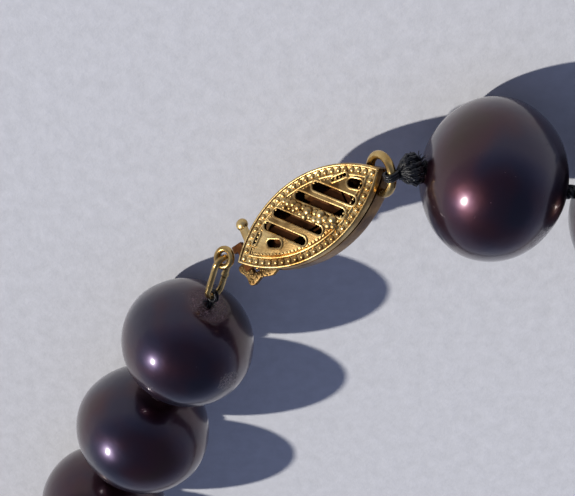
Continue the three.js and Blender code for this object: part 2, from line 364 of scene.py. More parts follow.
def black_nacre():
    """Dyed nacre, polished: a clear reflection off the top over a broad glow from the platelets
    below, rose with some violet and amber, on a body from aubergine to peacock blue and brown."""
    material, tree, shader = new_material("black_cultured_nacre")
    where = add(tree, "ShaderNodeAttribute", settings={"attribute_name": "nacre"}).outputs["Vector"]
    own = add(tree, "ShaderNodeAttribute", settings={"attribute_name": "own_colour"}).outputs["Fac"]
    shift = add(tree, "ShaderNodeCombineXYZ", {0: own, 1: own, 2: own}).outputs[0]
    spread = add(tree, "ShaderNodeVectorMath", {0: shift, 1: (9.0, 5.0, 7.0), 2: where},
                 {"operation": "MULTIPLY_ADD"})
    cloud = add(tree, "ShaderNodeTexNoise", {"Vector": spread.outputs[0], "Scale": 0.9, "Detail": 2.0})
    body = ramp(tree, cloud.outputs[0], [
        (0.34, linear("07090c")),
        (0.46, linear("12060c")),
        (0.56, linear("18060c")),
        (0.68, linear("150d06")),
    ])
    # fine growth mottling, about 0.6 mm, a little coarse so that it shows
    grain = add(tree, "ShaderNodeTexNoise", {"Vector": spread.outputs[0], "Scale": 9.0, "Detail": 3.0,
                                             "Roughness": 0.6})
    tone = ramp(tree, grain.outputs[0], [(0.38, linear("747474")), (0.62, linear("8c8c8c"))])
    mottled = mix(tree, 0.2, body, tone, "SOFT_LIGHT")
    # pin pits and rubbed spots, sparse
    pits = add(tree, "ShaderNodeTexVoronoi", {"Vector": spread.outputs[0], "Scale": 5.5},
               {"feature": "F1"})
    pit = ramp(tree, pits.outputs["Distance"], [(0.015, WHITE), (0.05, BLACK)])
    worn = add(tree, "ShaderNodeAttribute", settings={"attribute_name": "wear"}).outputs["Fac"]
    streak = add(tree, "ShaderNodeTexNoise", {"Vector": where, "Scale": 38.0, "Detail": 5.0,
                                              "Roughness": 0.75})
    broken = ramp(tree, streak.outputs[0], [(0.50, BLACK), (0.60, WHITE)])
    rubbed = calc(tree, "MULTIPLY", worn, broken)
    colour = mix(tree, rubbed, mottled, linear("8a7076"))
    tree.links.new(mix(tree, pit, colour, linear("080608")), shader.inputs["Base Color"])
    rough = add(tree, "ShaderNodeMapRange", {0: cloud.outputs[0], 3: 0.33, 4: 0.39})
    tree.links.new(rough.outputs[0], shader.inputs["Roughness"])
    shader.inputs["IOR"].default_value = 1.5
    shader.inputs["Specular IOR Level"].default_value = 0.62
    glow = ramp(tree, cloud.outputs[0], [
        (0.36, linear("c4a8e8")),
        (0.5, linear("ffa4bc")),
        (0.64, linear("f4b498")),
    ])
    tree.links.new(glow, shader.inputs["Specular Tint"])
    shader.inputs["Coat Weight"].default_value = 1.0
    shader.inputs["Coat Roughness"].default_value = 0.14
    shader.inputs["Coat IOR"].default_value = 1.45
    ripple = add(tree, "ShaderNodeTexNoise", {"Vector": spread.outputs[0], "Scale": 3.2, "Detail": 1.5})
    swell = bump(tree, 0.06, 0.6, ripple.outputs[0])
    skin = bump(tree, 0.02, 0.02, grain.outputs[0], swell)
    dent = bump(tree, 0.5, 0.05, pit, skin, True)
    scratch = bump(tree, 0.6, 0.08, rubbed, dent, True)
    tree.links.new(scratch, shader.inputs["Normal"])
    tree.links.new(scratch, shader.inputs["Coat Normal"])
    return material


def gold_plate(name, bright, deep, roughness, grain_size):
    """Gold plating on stamped brass: warm yellow, lighter and darker in random patches, with faint
    die marks in its roughness and relief."""
    material, tree, shader = new_material(name)
    place = add(tree, "ShaderNodeTexCoord").outputs["Object"]
    stain = add(tree, "ShaderNodeTexNoise", {"Vector": place, "Scale": 1 / (1.6 * MM), "Detail": 4.0})
    colour = ramp(tree, stain.outputs[0], [(0.35, linear(deep)), (0.6, linear(bright))])
    tree.links.new(colour, shader.inputs["Base Color"])
    shader.inputs["Metallic"].default_value = 1.0
    die = add(tree, "ShaderNodeTexNoise", {"Vector": place, "Scale": 1 / (grain_size * MM),
                                           "Detail": 3.0})
    rough = add(tree, "ShaderNodeMapRange", {0: die.outputs[0], 3: roughness * 0.7, 4: roughness * 1.4})
    tree.links.new(rough.outputs[0], shader.inputs["Roughness"])
    tree.links.new(bump(tree, 0.35, 0.04, die.outputs[0]), shader.inputs["Normal"])
    return material


def black_silk():
    """Twisted filament silk, dyed black: nearly matt along the strand, with a cool gleam
    across it where the filaments catch the light."""
    material, tree, shader = new_material("black_beading_silk")
    place = add(tree, "ShaderNodeTexCoord").outputs["Object"]
    twist = add(tree, "ShaderNodeTexNoise", {"Vector": place, "Scale": 1 / (0.16 * MM), "Detail": 4.0,
                                             "Distortion": 1.2})
    colour = ramp(tree, twist.outputs[0], [(0.4, linear("040405")), (0.7, linear("0f1116"))])
    tree.links.new(colour, shader.inputs["Base Color"])
    shader.inputs["Roughness"].default_value = 0.3
    shader.inputs["Sheen Weight"].default_value = 0.12
    shader.inputs["Sheen Roughness"].default_value = 0.4
    shader.inputs["Sheen Tint"].default_value = linear("9fb0cc")
    tree.links.new(bump(tree, 0.7, 0.06, twist.outputs[0]), shader.inputs["Normal"])
    return material


NACRE = black_nacre()
# the rim and beads, the duller field between the slots, the back darkened as painted shade, drawn wire, and the
# inside, darkened by tarnish and painted shade
GOLD = gold_plate("gold_plated_brass_stamped", "d8bb80", "a07a44", 0.34, 0.14)
GOLD_FROSTED = gold_plate("gold_plated_brass_frosted", "a08456", "553c20", 0.44, 0.1)
# a darker gold for the back and side wall: painted shade, where the wall faces away from the light
GOLD_PAINTED_SHADE = gold_plate("gold_plated_brass_painted_shade", "8c6b40", "523620", 0.34, 0.2)
GOLD_WIRE = gold_plate("gold_plated_brass_drawn_wire", "dcbd7c", "9c7840", 0.24, 0.3)
# the inside finish is partly tarnish and partly painted shade: dark red-brown where the inside of the box lies in
# shade
TARNISH_AND_PAINTED_SHADE = gold_plate("tarnished_brass_inside_painted_shade", "6a4226", "38200f", 0.42, 0.2)
SILK_BLACK = black_silk()


# ---- the camera and the light ----
CAMERA_DISTANCE = 160.0
CAMERA_HEIGHT = math.radians(45)
CAMERA_LENS = 139.2
CLASP_TO_AIM = Vector((1.69, 8.27, -5.3))
KEY_HEIGHT = math.radians(36.5)
KEY_ASIDE = 0.02
FLOOR_HALF = 6.0              # in metres, so that its edge is never seen


def set_camera():
    """Looks down on the clasp from outside the loop, turned over, so that the strand runs down
    the view."""
    aim = CLASP.translation + CLASP_TO_AIM * MM
    back = Vector((0, -math.cos(CAMERA_HEIGHT), math.sin(CAMERA_HEIGHT)))
    right = Vector((-1, 0, 0))
    up = back.cross(right)
    lens = bpy.data.cameras.new("camera")
    lens.lens = CAMERA_LENS
    lens.sensor_width = 36
    lens.clip_start = 0.01
    camera = bpy.data.objects.new("camera", lens)
    place = Matrix((right, up, back)).transposed().to_4x4()
    place.translation = aim + back * CAMERA_DISTANCE * MM
    camera.matrix_world = place
    bpy.context.scene.collection.objects.link(camera)
    bpy.context.scene.camera = camera


def set_light():
    """One low key from the hook side, and a dim dome that is brighter near the horizon."""
    lamp = bpy.data.lights.new("key", "SUN")
    lamp.energy = 3.15
    lamp.angle = math.radians(1.6)
    lamp.color = linear("fffaf2")[:3]
    key = bpy.data.objects.new("key", lamp)
    towards = Vector((math.cos(KEY_HEIGHT), KEY_ASIDE, math.sin(KEY_HEIGHT)))
    key.rotation_euler = towards.to_track_quat("Z", "Y").to_euler()
    key.location = towards
    bpy.context.scene.collection.objects.link(key)
    world = bpy.data.worlds.new("studio")
    world.use_nodes = True
    tree = world.node_tree
    tree.nodes.clear()
    place = add(tree, "ShaderNodeTexCoord").outputs["Generated"]
    height = add(tree, "ShaderNodeSeparateXYZ", {0: place}).outputs[2]
    colour = ramp(tree, height, [
        (0.0, linear("b9bdd0")),
        (0.3, linear("8790ae")),
        (0.7, linear("565d76")),
    ])
    dome = add(tree, "ShaderNodeBackground", {0: colour, 1: 0.95})
    add(tree, "ShaderNodeOutputWorld", {0: dome.outputs[0]})
    bpy.context.scene.world = world


def set_floor():
    """A plain pale card, in metres."""
    half, low = FLOOR_HALF, cad_low.z
    corners = [(-half, -half, low), (half, -half, low), (half, half, low), (-half, half, low)]
    mesh = new_mesh("floor", corners, [(0, 1, 2, 3)])
    material, tree, shader = new_material("pale_card")
    place = add(tree, "ShaderNodeTexCoord").outputs["Object"]
    tooth = add(tree, "ShaderNodeTexNoise", {"Vector": place, "Scale": 900.0, "Detail": 4.0,
                                             "Roughness": 0.6})
    colour = ramp(tree, tooth.outputs[0], [(0.3, linear("dcdee3")), (0.7, linear("e6e8ee"))])
    tree.links.new(colour, shader.inputs["Base Color"])
    shader.inputs["Roughness"].default_value = 0.85
    tree.links.new(bump(tree, 0.25, 0.2, tooth.outputs[0]), shader.inputs["Normal"])
    mesh.materials.append(material)
    floor = new_object("floor", mesh)


bpy.context.scene.view_settings.view_transform = "Standard"
set_camera()
set_light()
set_floor()


# ---- the clasp's box ----
def outline_arc():
    """Radius of each of the outline's two arcs, and how far past the middle its centre lies."""
    half, rise = BOX_LENGTH / 2, BOX_WIDTH / 2
    radius = (half * half + rise * rise) / (2 * rise)
    return radius, radius - rise


def marquise(inset, height, count=240):
    """The box's outline moved in by inset: two arcs that meet at the tips."""
    arc, drop = outline_arc()
    radius = max(arc - inset, drop + 1e-3)
    sweep = math.acos(drop / radius)
    ring = []
    for side in (1, -1):
        for i in range(count // 2):
            angle = sweep - 2 * sweep * i / (count // 2)
            x = side * radius * math.sin(angle)
            y = side * (radius * math.cos(angle) - drop)
            ring.append((x, y, height(x, y) if callable(height) else height))
    return ring


def dome(x, y, below=0.0):
    """Height of the pierced face: a low dome that is highest in the middle."""
    rise = max(0.0, 1 - (x / DOME_REACH[0]) ** 2) * max(0.0, 1 - (y / DOME_REACH[1]) ** 2)
    return RIM_TOP - DOME_SINK + DOME_RISE * rise - below


# both shells' outsides: distance in from the outline, and height
UPPER_OUTSIDE = [
    (0.0, SEAM + 0.02), (0.0, 0.56),                                          # wall
    (0.02, 0.66), (0.07, 0.73), (0.13, RIM_TOP), (0.19, 0.73), (0.23, 0.67),  # raised edge
    (0.29, 0.64), (0.62, 0.66),                                               # band for the beads
    (0.67, 0.71), (0.72, 0.77), (0.78, 0.79), (0.84, 0.77), (0.88, 0.72),     # inner line
]
LOWER_OUTSIDE = [
    (0.0, -SEAM + 0.13), (0.0, -1.1), (0.03, -1.26), (0.1, -1.37), (0.22, -1.43), (0.4, -BASE_DEPTH),
]


def upper_shell():
    """The rim, the pierced dome and the side wall, hollow from below."""
    rings = [marquise(d, z) for d, z in UPPER_OUTSIDE]
    steps = [DOME_EDGE + (BOX_WIDTH / 2 - DOME_EDGE) * i / 14 for i in range(15)]
    rings += [marquise(d, dome) for d in steps]
    under = SHELL_WALL
    rings += [marquise(d, lambda x, y: dome(x, y, under)) for d in reversed(steps[:-1])]
    rings += [
        marquise(0.6, RIM_TOP - 0.09 - under),
        marquise(SHELL_WALL, RIM_TOP - 0.15 - under),
        marquise(SHELL_WALL, SEAM + 0.02),
    ]
    shell = loft("upper_shell", rings)
    return cut(shell, [mouth_cutter(MOUTH_TOP - 0.1)] + opening_cutters())


def lower_shell():
    """The plain back and side wall, open at the mouth."""
    rings = [marquise(d, z) for d, z in LOWER_OUTSIDE]
    rings += [marquise(d, -BASE_DEPTH) for d in (1.0, 1.7, 2.4, BOX_WIDTH / 2)]
    rings += [marquise(d, -BASE_DEPTH + SHELL_WALL) for d in (2.4, 1.7, 1.0, 0.5)]
    rings += [marquise(0.34, -1.08), marquise(SHELL_WALL, -0.9), marquise(SHELL_WALL, -SEAM + 0.13)]
    return cut(loft("lower_shell", rings), [mouth_cutter(1.0)])


def mouth_cutter(top):
    """The open end that the hook slides into."""
    half = BOX_WIDTH
    outline = [(MOUTH_START, -half), (BOX_LENGTH, -half), (BOX_LENGTH, half), (MOUTH_START, half)]
    return prism(outline, MOUTH_BOTTOM, top)


def stadium(at, length, width, angle, steps=10):
    """A slot's outline with round ends."""
    run = (length - width) / 2
    c, s = math.cos(angle), math.sin(angle)
    out = []
    for side in (1, -1):
        for i in range(steps + 1):
            turn = side * math.pi / 2 - math.pi * i / steps
            x = side * run + width / 2 * math.cos(turn)
            y = width / 2 * math.sin(turn)
            out.append((at[0] + c * x - s * y, at[1] + s * x + c * y))
    return list(reversed(out))


END_OPENINGS = [  # middle, length, width, and angle in degrees
    ((4.25, -0.62), 1.05, 0.3, 31),
    ((3.05, 0.42), 1.25, 0.62, 150),
    ((-3.55, -1.0), 1.25, 0.34, 170),
    ((-4.45, 0.0), 1.2, 0.7, 140),
]


def openings():
    """Outlines of all that is pierced through the face."""
    cuts = [stadium((x, y), length, SLOT_WIDTH, SLOT_ANGLE) for x, y, length in SLOTS]
    for at, length, width, angle in END_OPENINGS:
        cuts.append(stadium(at, length, width, math.radians(angle)))
    return cuts


def opening_cutters():
    return [prism(outline, 0.2, 2.0) for outline in openings()]


def slot_lips():
    """A raised, rounded lip round each opening, as the die leaves it."""
    lip_offset, lip_radius = 0.05, 0.085
    lips = []
    for outline in openings():
        middle = np.mean(np.array(outline), axis=0)
        path = []
        for x, y in outline:
            out = np.array((x, y)) - middle
            out = out / (np.linalg.norm(out) + 1e-9) * lip_offset
            path.append((x + out[0], y + out[1], dome(x, y) + 0.01))
        lips.append(tube(path, lip_radius, 8, True))
    return merge("lips", lips)


# ---- repeated beads: one tree lays a bead on every point of a path, or scatters them ----
def bead_tree(name, scattered):
    """Lays oval beads evenly along a line of edges, or scatters them over faces."""
    tree = bpy.data.node_groups.new(name, "GeometryNodeTree")
    face = tree.interface
    face.new_socket("Geometry", in_out="INPUT", socket_type="NodeSocketGeometry")
    sizes = {"Spacing": 0.5, "Bead length": 0.2, "Bead width": 0.15, "Bead height": 0.1,
             "Variation": 0.0}
    for key, value in sizes.items():
        face.new_socket(key, in_out="INPUT", socket_type="NodeSocketFloat").default_value = value
    face.new_socket("Finish", in_out="INPUT", socket_type="NodeSocketMaterial")
    face.new_socket("Geometry", in_out="OUTPUT", socket_type="NodeSocketGeometry")
    given = add(tree, "NodeGroupInput").outputs
    bead = add(tree, "GeometryNodeMeshIcoSphere", {"Radius": 1.0, "Subdivisions": 2})
    size = add(tree, "ShaderNodeCombineXYZ", {0: given["Bead length"], 1: given["Bead width"],
                                              2: given["Bead height"]})
    if scattered:
        points = add(tree, "GeometryNodeDistributePointsOnFaces",
                     {"Mesh": given["Geometry"], "Distance Min": given["Spacing"], "Density Max": 60.0,
                      "Seed": 7}, {"distribute_method": "POISSON"})
        cloud, turn = points.outputs["Points"], points.outputs["Rotation"]
    else:
        line = add(tree, "GeometryNodeMeshToCurve", {0: given["Geometry"]})
        even = add(tree, "GeometryNodeResampleCurve",
                   {"Curve": line.outputs[0], "Length": given["Spacing"]}, {"mode": "LENGTH"})
        way = add(tree, "GeometryNodeInputTangent")
        turned = add(tree, "FunctionNodeAlignRotationToVector", {"Vector": way.outputs[0]}, {"axis": "X"})
        cloud, turn = even.outputs[0], turned.outputs[0]
    spread = add(tree, "FunctionNodeRandomValue", {"Seed": 3}, {"data_type": "FLOAT"})
    tree.links.new(calc(tree, "SUBTRACT", 1.0, given["Variation"]), spread.inputs[2])
    tree.links.new(calc(tree, "ADD", 1.0, given["Variation"]), spread.inputs[3])
    scaled = add(tree, "ShaderNodeVectorMath", {0: size.outputs[0], "Scale": spread.outputs[1]},
                 {"operation": "SCALE"})
    laid = add(tree, "GeometryNodeInstanceOnPoints", {"Points": cloud, "Instance": bead.outputs[0],
                                                      "Rotation": turn, "Scale": scaled.outputs[0]})
    real = add(tree, "GeometryNodeRealizeInstances", {0: laid.outputs[0]})
    done = add(tree, "GeometryNodeSetMaterial",
               {"Geometry": real.outputs[0], "Material": given["Finish"]})
    add(tree, "NodeGroupOutput", {0: done.outputs[0]})
    return tree


def run_tree(tree, mesh, values, name):
    """Evaluates a tree on a mesh, with its inputs set by identifier, and gives the plain mesh."""
    host = new_object("host", mesh)
    step = host.modifiers.new("nodes", "NODES")
    names = {item.name: item.identifier for item in tree.interface.items_tree if item.in_out == "INPUT"}
    step.node_group = tree
    for key, value in values.items():
        step[names[key]] = value
    made = evaluated_copy(host, name)
    bpy.data.objects.remove(host)
    return made


def path_mesh(points):
    """A closed line of edges."""
    count = len(points)
    edges = [(i, (i + 1) % count) for i in range(count)]
    mesh = bpy.data.meshes.new("path")
    mesh.from_pydata([tuple(p) for p in points], edges, [])
    return mesh


RIM_BEAD = {"Spacing": 0.54, "Bead length": 0.19, "Bead width": 0.2, "Bead height": 0.12,
            "Finish": GOLD}
FINE_BEAD = {"Spacing": 0.3, "Bead length": 0.1, "Bead width": 0.08, "Bead height": 0.06,
             "Finish": GOLD}
FACE_GRANULE = {"Spacing": 0.38, "Bead length": 0.27, "Bead width": 0.27, "Bead height": 0.21,
                "Variation": 0.3, "Finish": GOLD}
TAB_GRANULE = {"Spacing": 0.15, "Bead length": 0.09, "Bead width": 0.09, "Bead height": 0.04,
               "Variation": 0.3, "Finish": GOLD}
RIM_ROW_INSET = 0.45          # both rows of beads: distance in from the outline, and where they stop
RIM_ROW_HEIGHT = 0.67
RIM_ROW_END = 6.4
FINE_ROW_INSET = 0.98
FINE_ROW_END = 5.6
BEAD_ROW = bead_tree("bead_row", False)
GRANULES = bead_tree("granules", True)


def granule_band():
    """The strip of the dome between the second and third slots, on which the granules sit."""
    length, gap = 4.5, 0.12
    c, s = math.cos(SLOT_ANGLE), math.sin(SLOT_ANGLE)
    middle = ((SLOTS[1][0] + SLOTS[2][0]) / 2, (SLOTS[1][1] + SLOTS[2][1]) / 2)
    across = abs(SLOTS[1][0] - SLOTS[2][0]) * math.sin(SLOT_ANGLE) / 2 - SLOT_WIDTH / 2 - gap
    grid, faces = [], []
    along_steps, across_steps = 12, 4
    for i in range(along_steps + 1):
        for k in range(across_steps + 1):
            u = (i / along_steps - 0.5) * length
            v = (k / across_steps - 0.5) * 2 * across
            x, y = middle[0] + c * u - s * v, middle[1] + s * u + c * v
            grid.append((x, y, dome(x, y) + 0.05))
    wide = across_steps + 1
    for i in range(along_steps):
        for k in range(across_steps):
            a = i * wide + k
            faces.append((a, a + wide, a + wide + 1, a + 1))
    return new_mesh("band", grid, faces)


def face_beads():
    """The milled beads on the rim, the fine ones on its inner line, and the granules."""
    outer_row = marquise(RIM_ROW_INSET, RIM_ROW_HEIGHT)
    fine_row = marquise(FINE_ROW_INSET, lambda x, y: dome(x, y) + 0.01)
    rim = path_mesh([p for p in outer_row if abs(p[0]) < RIM_ROW_END])
    inner = path_mesh([p for p in fine_row if abs(p[0]) < FINE_ROW_END])
    return [
        run_tree(BEAD_ROW, rim, RIM_BEAD, "rim_beads"),
        run_tree(BEAD_ROW, inner, FINE_BEAD, "inner_beads"),
        run_tree(GRANULES, granule_band(), FACE_GRANULE, "granules"),
    ]


SHELL_FINISHES = (GOLD, TARNISH_AND_PAINTED_SHADE, GOLD_FROSTED)
OUTSIDE, INSIDE, FIELD = range(3)  # places in SHELL_FINISHES
FIELD_INSET = 1.0             # the field begins this far in from the outline,
FIELD_HEIGHT = 0.5            # lies above this height,
FIELD_END = 2.9               # and ends here towards the hook; the smoother, brighter gold beyond it is partly a painted highlight
SHELL_MIDDLE = Vector((0, 0, -0.4))
INWARD = 0.35                 # least cosine to the middle of a face that looks inwards


def is_inside(point, inset):
    """True if a point lies further than inset from the box's outline."""
    arc, drop = outline_arc()
    return math.hypot(point[0], abs(point[1]) + drop) < arc - inset


def finish_shell(mesh):
    """Frosts the pierced field, and gives the faces that look towards the shell's middle the dark inside finish:
    tarnish with painted shade.
    """
    mesh.materials.clear()
    for finish in SHELL_FINISHES:
        mesh.materials.append(finish)
    for face in mesh.polygons:
        at = face.center
        if at.z > FIELD_HEIGHT and at.x < FIELD_END and is_inside(at, FIELD_INSET):
            face.material_index = FIELD
        # faces that look inwards take the dark inside finish: tarnish with painted shade
        if face.normal.dot((SHELL_MIDDLE - at).normalized()) > INWARD:
            face.material_index = INSIDE
    return mesh


def build_box():
    beads = face_beads()
    shell = smooth(finish_shell(upper_shell()), 40)
    work = bmesh.new()
    work.from_mesh(shell)
    for extra in beads + [slot_lips()]:
        first = len(work.faces)
        work.from_mesh(extra)
        work.faces.ensure_lookup_table()
        for face in work.faces[first:]:
            face.material_index = OUTSIDE
    whole = bpy.data.meshes.new("clasp_upper_shell_filigree")
    work.to_mesh(whole)
    work.free()
    for finish in SHELL_FINISHES:
        whole.materials.append(finish)
    for face in whole.polygons:
        face.use_smooth = True
    whole.set_sharp_from_angle(angle=math.radians(40))
    finish_piece("clasp_upper_shell_filigree", whole, None, "clasp_box",
                 ["clasp_upper_shell"], CLASP)
    base = smooth(finish_shell(lower_shell()), 40)
    # the outside of the back and side wall takes the darker gold as painted shade
    base.materials[OUTSIDE] = GOLD_PAINTED_SHADE
    finish_piece("clasp_lower_shell_plain", base, None, "clasp_box",
                 ["clasp_lower_shell"], CLASP)


def build_ring():
    tilt = Matrix.Rotation(RING_TILT, 4, "Y")
    tilt.translation = Vector(RING_AT)
    ring = torus(RING_RADIUS, RING_WIRE)
    ring.transform(tilt)
    finish_piece("box_ring_wire", smooth(ring, 80), GOLD_WIRE, "box_ring",
                 ["box_ring"], CLASP)


def build_hook():
    eyelet = torus(EYELET_RADIUS, EYELET_WIRE)
    eyelet.transform(Matrix.Translation(EYELET_AT))
    finish_piece("hook_eyelet_ring", smooth(eyelet, 80), GOLD_WIRE, "hook",
                 ["hook_eyelet"], CLASP)


def build_link():
    """A long oval of wire, with a bulge of solder where its ends meet."""
    eye = Vector(joint("link_swing")["pos_m"]) / MM
    end = Vector(joint("hook_knot")["pos_m"]) / MM
    along = (end - eye).normalized()
    face = CLASP.to_3x3().col[2]
    side = face.cross(along).normalized()
    up = along.cross(side)
    straight = (end - eye).length / 2 - LINK_HALF_WIDTH
    path = []
    for half in (1, -1):
        for i in range(13):
            angle = half * math.pi / 2 - math.pi * i / 12
            x = half * straight + LINK_HALF_WIDTH * math.cos(angle)
            path.append((x + straight + LINK_HALF_WIDTH, 0, LINK_HALF_WIDTH * math.sin(angle)))
        last = path[-1]
        for i in range(1, 6):
            path.append((last[0] - half * 2 * straight * i / 6, 0, last[2]))
    link = tube(path, LINK_WIRE, 18, True)
    solder = ball(LINK_WIRE * 1.25, path[15], (1.3, 1, 1), 20, 12)
    whole = merge("link", [link, solder])
    place = Matrix((along, side, up)).transposed().to_4x4()
    place.translation = eye * MM
    finish_piece("strand_link_wire", smooth(whole, 80), GOLD_WIRE, "link",
                 ["strand_link"], place)


build_box()
build_ring()
build_hook()
build_link()


# ---- the press bar with its lug, and the granulated tab ----
PRESS_TOP = -0.45
PRESS_BOTTOM = -0.8
BAR_SIDES = (5.45, 6.05)
BAR_ENDS = (-2.5, 0.8)
LUG_RADIUS = 0.46
LUG_AT = (5.75, -2.65)
TAB_OUTLINE = [                # a small vine leaf that reaches round the end of the bar
    (4.2, 0.95), (6.2, 0.95), (6.35, -0.1), (6.95, -0.15), (7.25, -0.1), (7.38, 0.1), (7.3, 0.35),
    (7.08, 0.65), (6.98, 1.0), (7.02, 1.35), (6.9, 1.55), (6.57, 1.64), (6.2, 1.52), (5.86, 1.42),
    (5.4, 1.62), (4.96, 1.76), (4.55, 1.65), (4.2, 1.3),
]


def build_press_bar():
    (left, right), (low, high) = BAR_SIDES, BAR_ENDS
    outline = [(left, low), (right, low), (right, high), (left, high)]
    bar = bevel(prism(outline, PRESS_BOTTOM, PRESS_TOP), 0.1, 3)
    lug = ball(LUG_RADIUS, (*LUG_AT, (PRESS_TOP + PRESS_BOTTOM) / 2), (1, 0.95, 0.75), 28, 18)
    whole = merge("press_bar", [bar, lug])
    finish_piece("press_bar_lug", smooth(whole, 50), GOLD, "press_leaf",
                 ["press_bar"], CLASP)


def build_press_tab():
    leaf = bevel(prism(TAB_OUTLINE, PRESS_BOTTOM, PRESS_TOP), 0.07, 2)
    middle = np.mean(np.array(TAB_OUTLINE), axis=0)
    inner = [tuple(middle + (np.array(p) - middle) * 0.84) for p in TAB_OUTLINE]
    field = new_mesh("field", [(x, y, PRESS_TOP) for x, y in inner], [tuple(range(len(inner)))])
    if field.polygons[0].normal.z < 0:
        field.flip_normals()
    bumps = run_tree(GRANULES, field, TAB_GRANULE, "tab_granules")
    whole = merge("press_tab", [leaf, bumps])
    finish_piece("press_tab_granulated", smooth(whole, 40), GOLD_FROSTED, "press_leaf",
                 ["press_tab_leaf"], CLASP)


build_press_bar()
build_press_tab()


# ---- the pearls ----
WEAR_EDGE = 0.985             # cosine of a rubbed patch's edge, at the drill holes and the flaws
WIDE_WEAR_EDGE = 0.95         # the same at the link's end of the first pearl
FLAWS = {1: (-0.64, 0.0, 0.77), 40: (-0.59, 0.3, 0.75)}  # a scratched spot's way out of its pearl


def pearl_tree():
    """A drilled pearl about Z: a sphere that is swollen a little by noise, scaled to its
    radius and half length, and pressed in at both drill holes."""
    tree = bpy.data.node_groups.new("drilled_pearl", "GeometryNodeTree")
    face = tree.interface
    face.new_socket("Geometry", in_out="INPUT", socket_type="NodeSocketGeometry")
    for key in ("Radius", "Half length", "Own colour", "Bore"):
        face.new_socket(key, in_out="INPUT", socket_type="NodeSocketFloat")
    face.new_socket("Finish", in_out="INPUT", socket_type="NodeSocketMaterial")
    face.new_socket("Geometry", in_out="OUTPUT", socket_type="NodeSocketGeometry")
    given = add(tree, "NodeGroupInput").outputs
    sphere = add(tree, "GeometryNodeMeshUVSphere", {"Segments": 96, "Rings": 72, "Radius": 1.0})
    where = add(tree, "GeometryNodeInputPosition").outputs[0]
    own = given["Own colour"]
    shift = add(tree, "ShaderNodeCombineXYZ", {0: own, 1: own}).outputs[0]
    spread = add(tree, "ShaderNodeVectorMath", {0: shift, 1: (37.0, 19.0, 0.0), 2: where},
                 {"operation": "MULTIPLY_ADD"}).outputs[0]
    lumps = add(tree, "ShaderNodeTexNoise", {"Vector": spread, "Scale": 0.75, "Detail": 1.0}).outputs[0]
    swell = add(tree, "ShaderNodeMapRange", {0: lumps, 1: 0.25, 2: 0.75, 3: 0.965, 4: 1.0}).outputs[0]
    height = add(tree, "ShaderNodeSeparateXYZ", {0: where}).outputs[2]
    up = calc(tree, "ABSOLUTE", height)
    # the skin draws in softly towards the drill hole, and then drops into it
    soft = add(tree, "ShaderNodeMapRange", {0: up, 1: 0.93, 2: 0.998, 3: 0.0, 4: 0.035},
               {"interpolation_type": "SMOOTHSTEP"}).outputs[0]
    edge = calc(tree, "DIVIDE", given["Bore"], given["Radius"])
    limit = calc(tree, "MULTIPLY_ADD", calc(tree, "MULTIPLY", edge, edge), -0.5, 1.0)
    hole = calc(tree, "MULTIPLY", calc(tree, "GREATER_THAN", up, limit), 0.16)
    drawn = calc(tree, "SUBTRACT", calc(tree, "SUBTRACT", swell, soft), hole)
    across = calc(tree, "MULTIPLY", given["Radius"], swell)
    along = calc(tree, "MULTIPLY", given["Half length"], drawn)
    size = add(tree, "ShaderNodeCombineXYZ", {0: across, 1: across, 2: along}).outputs[0]
    placed = add(tree, "ShaderNodeVectorMath", {0: where, 1: size},
                 {"operation": "MULTIPLY"}).outputs[0]
    kept = add(tree, "GeometryNodeStoreNamedAttribute",
               {"Geometry": sphere.outputs[0], "Name": "nacre", "Value": where},
               {"data_type": "FLOAT_VECTOR"})
    tinted = add(tree, "GeometryNodeStoreNamedAttribute",
                 {"Geometry": kept.outputs[0], "Name": "own_colour", "Value": own},
                 {"data_type": "FLOAT"})
    shaped = add(tree, "GeometryNodeSetPosition", {"Geometry": tinted.outputs[0], "Position": placed})
    even = add(tree, "GeometryNodeSetShadeSmooth", {"Geometry": shaped.outputs[0]})
    done = add(tree, "GeometryNodeSetMaterial",
               {"Geometry": even.outputs[0], "Material": given["Finish"]})
    add(tree, "NodeGroupOutput", {0: done.outputs[0]})
    return tree


def pearl_frame(node):
    """Centre, drill axis, radius and half length of a CAD pearl, from its vertices."""
    low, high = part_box(node)
    centre = (low + high) / 2
    co = np.array([v.co for v in frame["nodes"][node].data.vertices], float)
    flat = co[:, :2] - np.array(centre[:2])
    drill = np.linalg.eigh(flat.T @ flat)[1][:, 1]
    axis = Vector((*drill, 0.0)).normalized()
    radius = (high.z - low.z) / 2
    half = max(abs(flat @ drill))
    return centre, axis, radius / MM, half / MM


def wear_marks(mesh, marks):
    """Paints rubbed patches on a pearl: each is a direction, and the cosine of its edge."""
    mesh.attributes.new("wear", "FLOAT", "POINT")
    values = np.zeros(len(mesh.vertices), np.float32)
    where = np.zeros(len(mesh.vertices) * 3, np.float32)
    mesh.attributes["nacre"].data.foreach_get("vector", where)
    where = where.reshape(-1, 3)
    for direction, spread in marks:
        near = where @ np.array(Vector(direction).normalized())
        values = np.maximum(values, np.clip((near - spread) / (1 - spread) * 3, 0, 1))
    mesh.attributes["wear"].data.foreach_set("value", values)


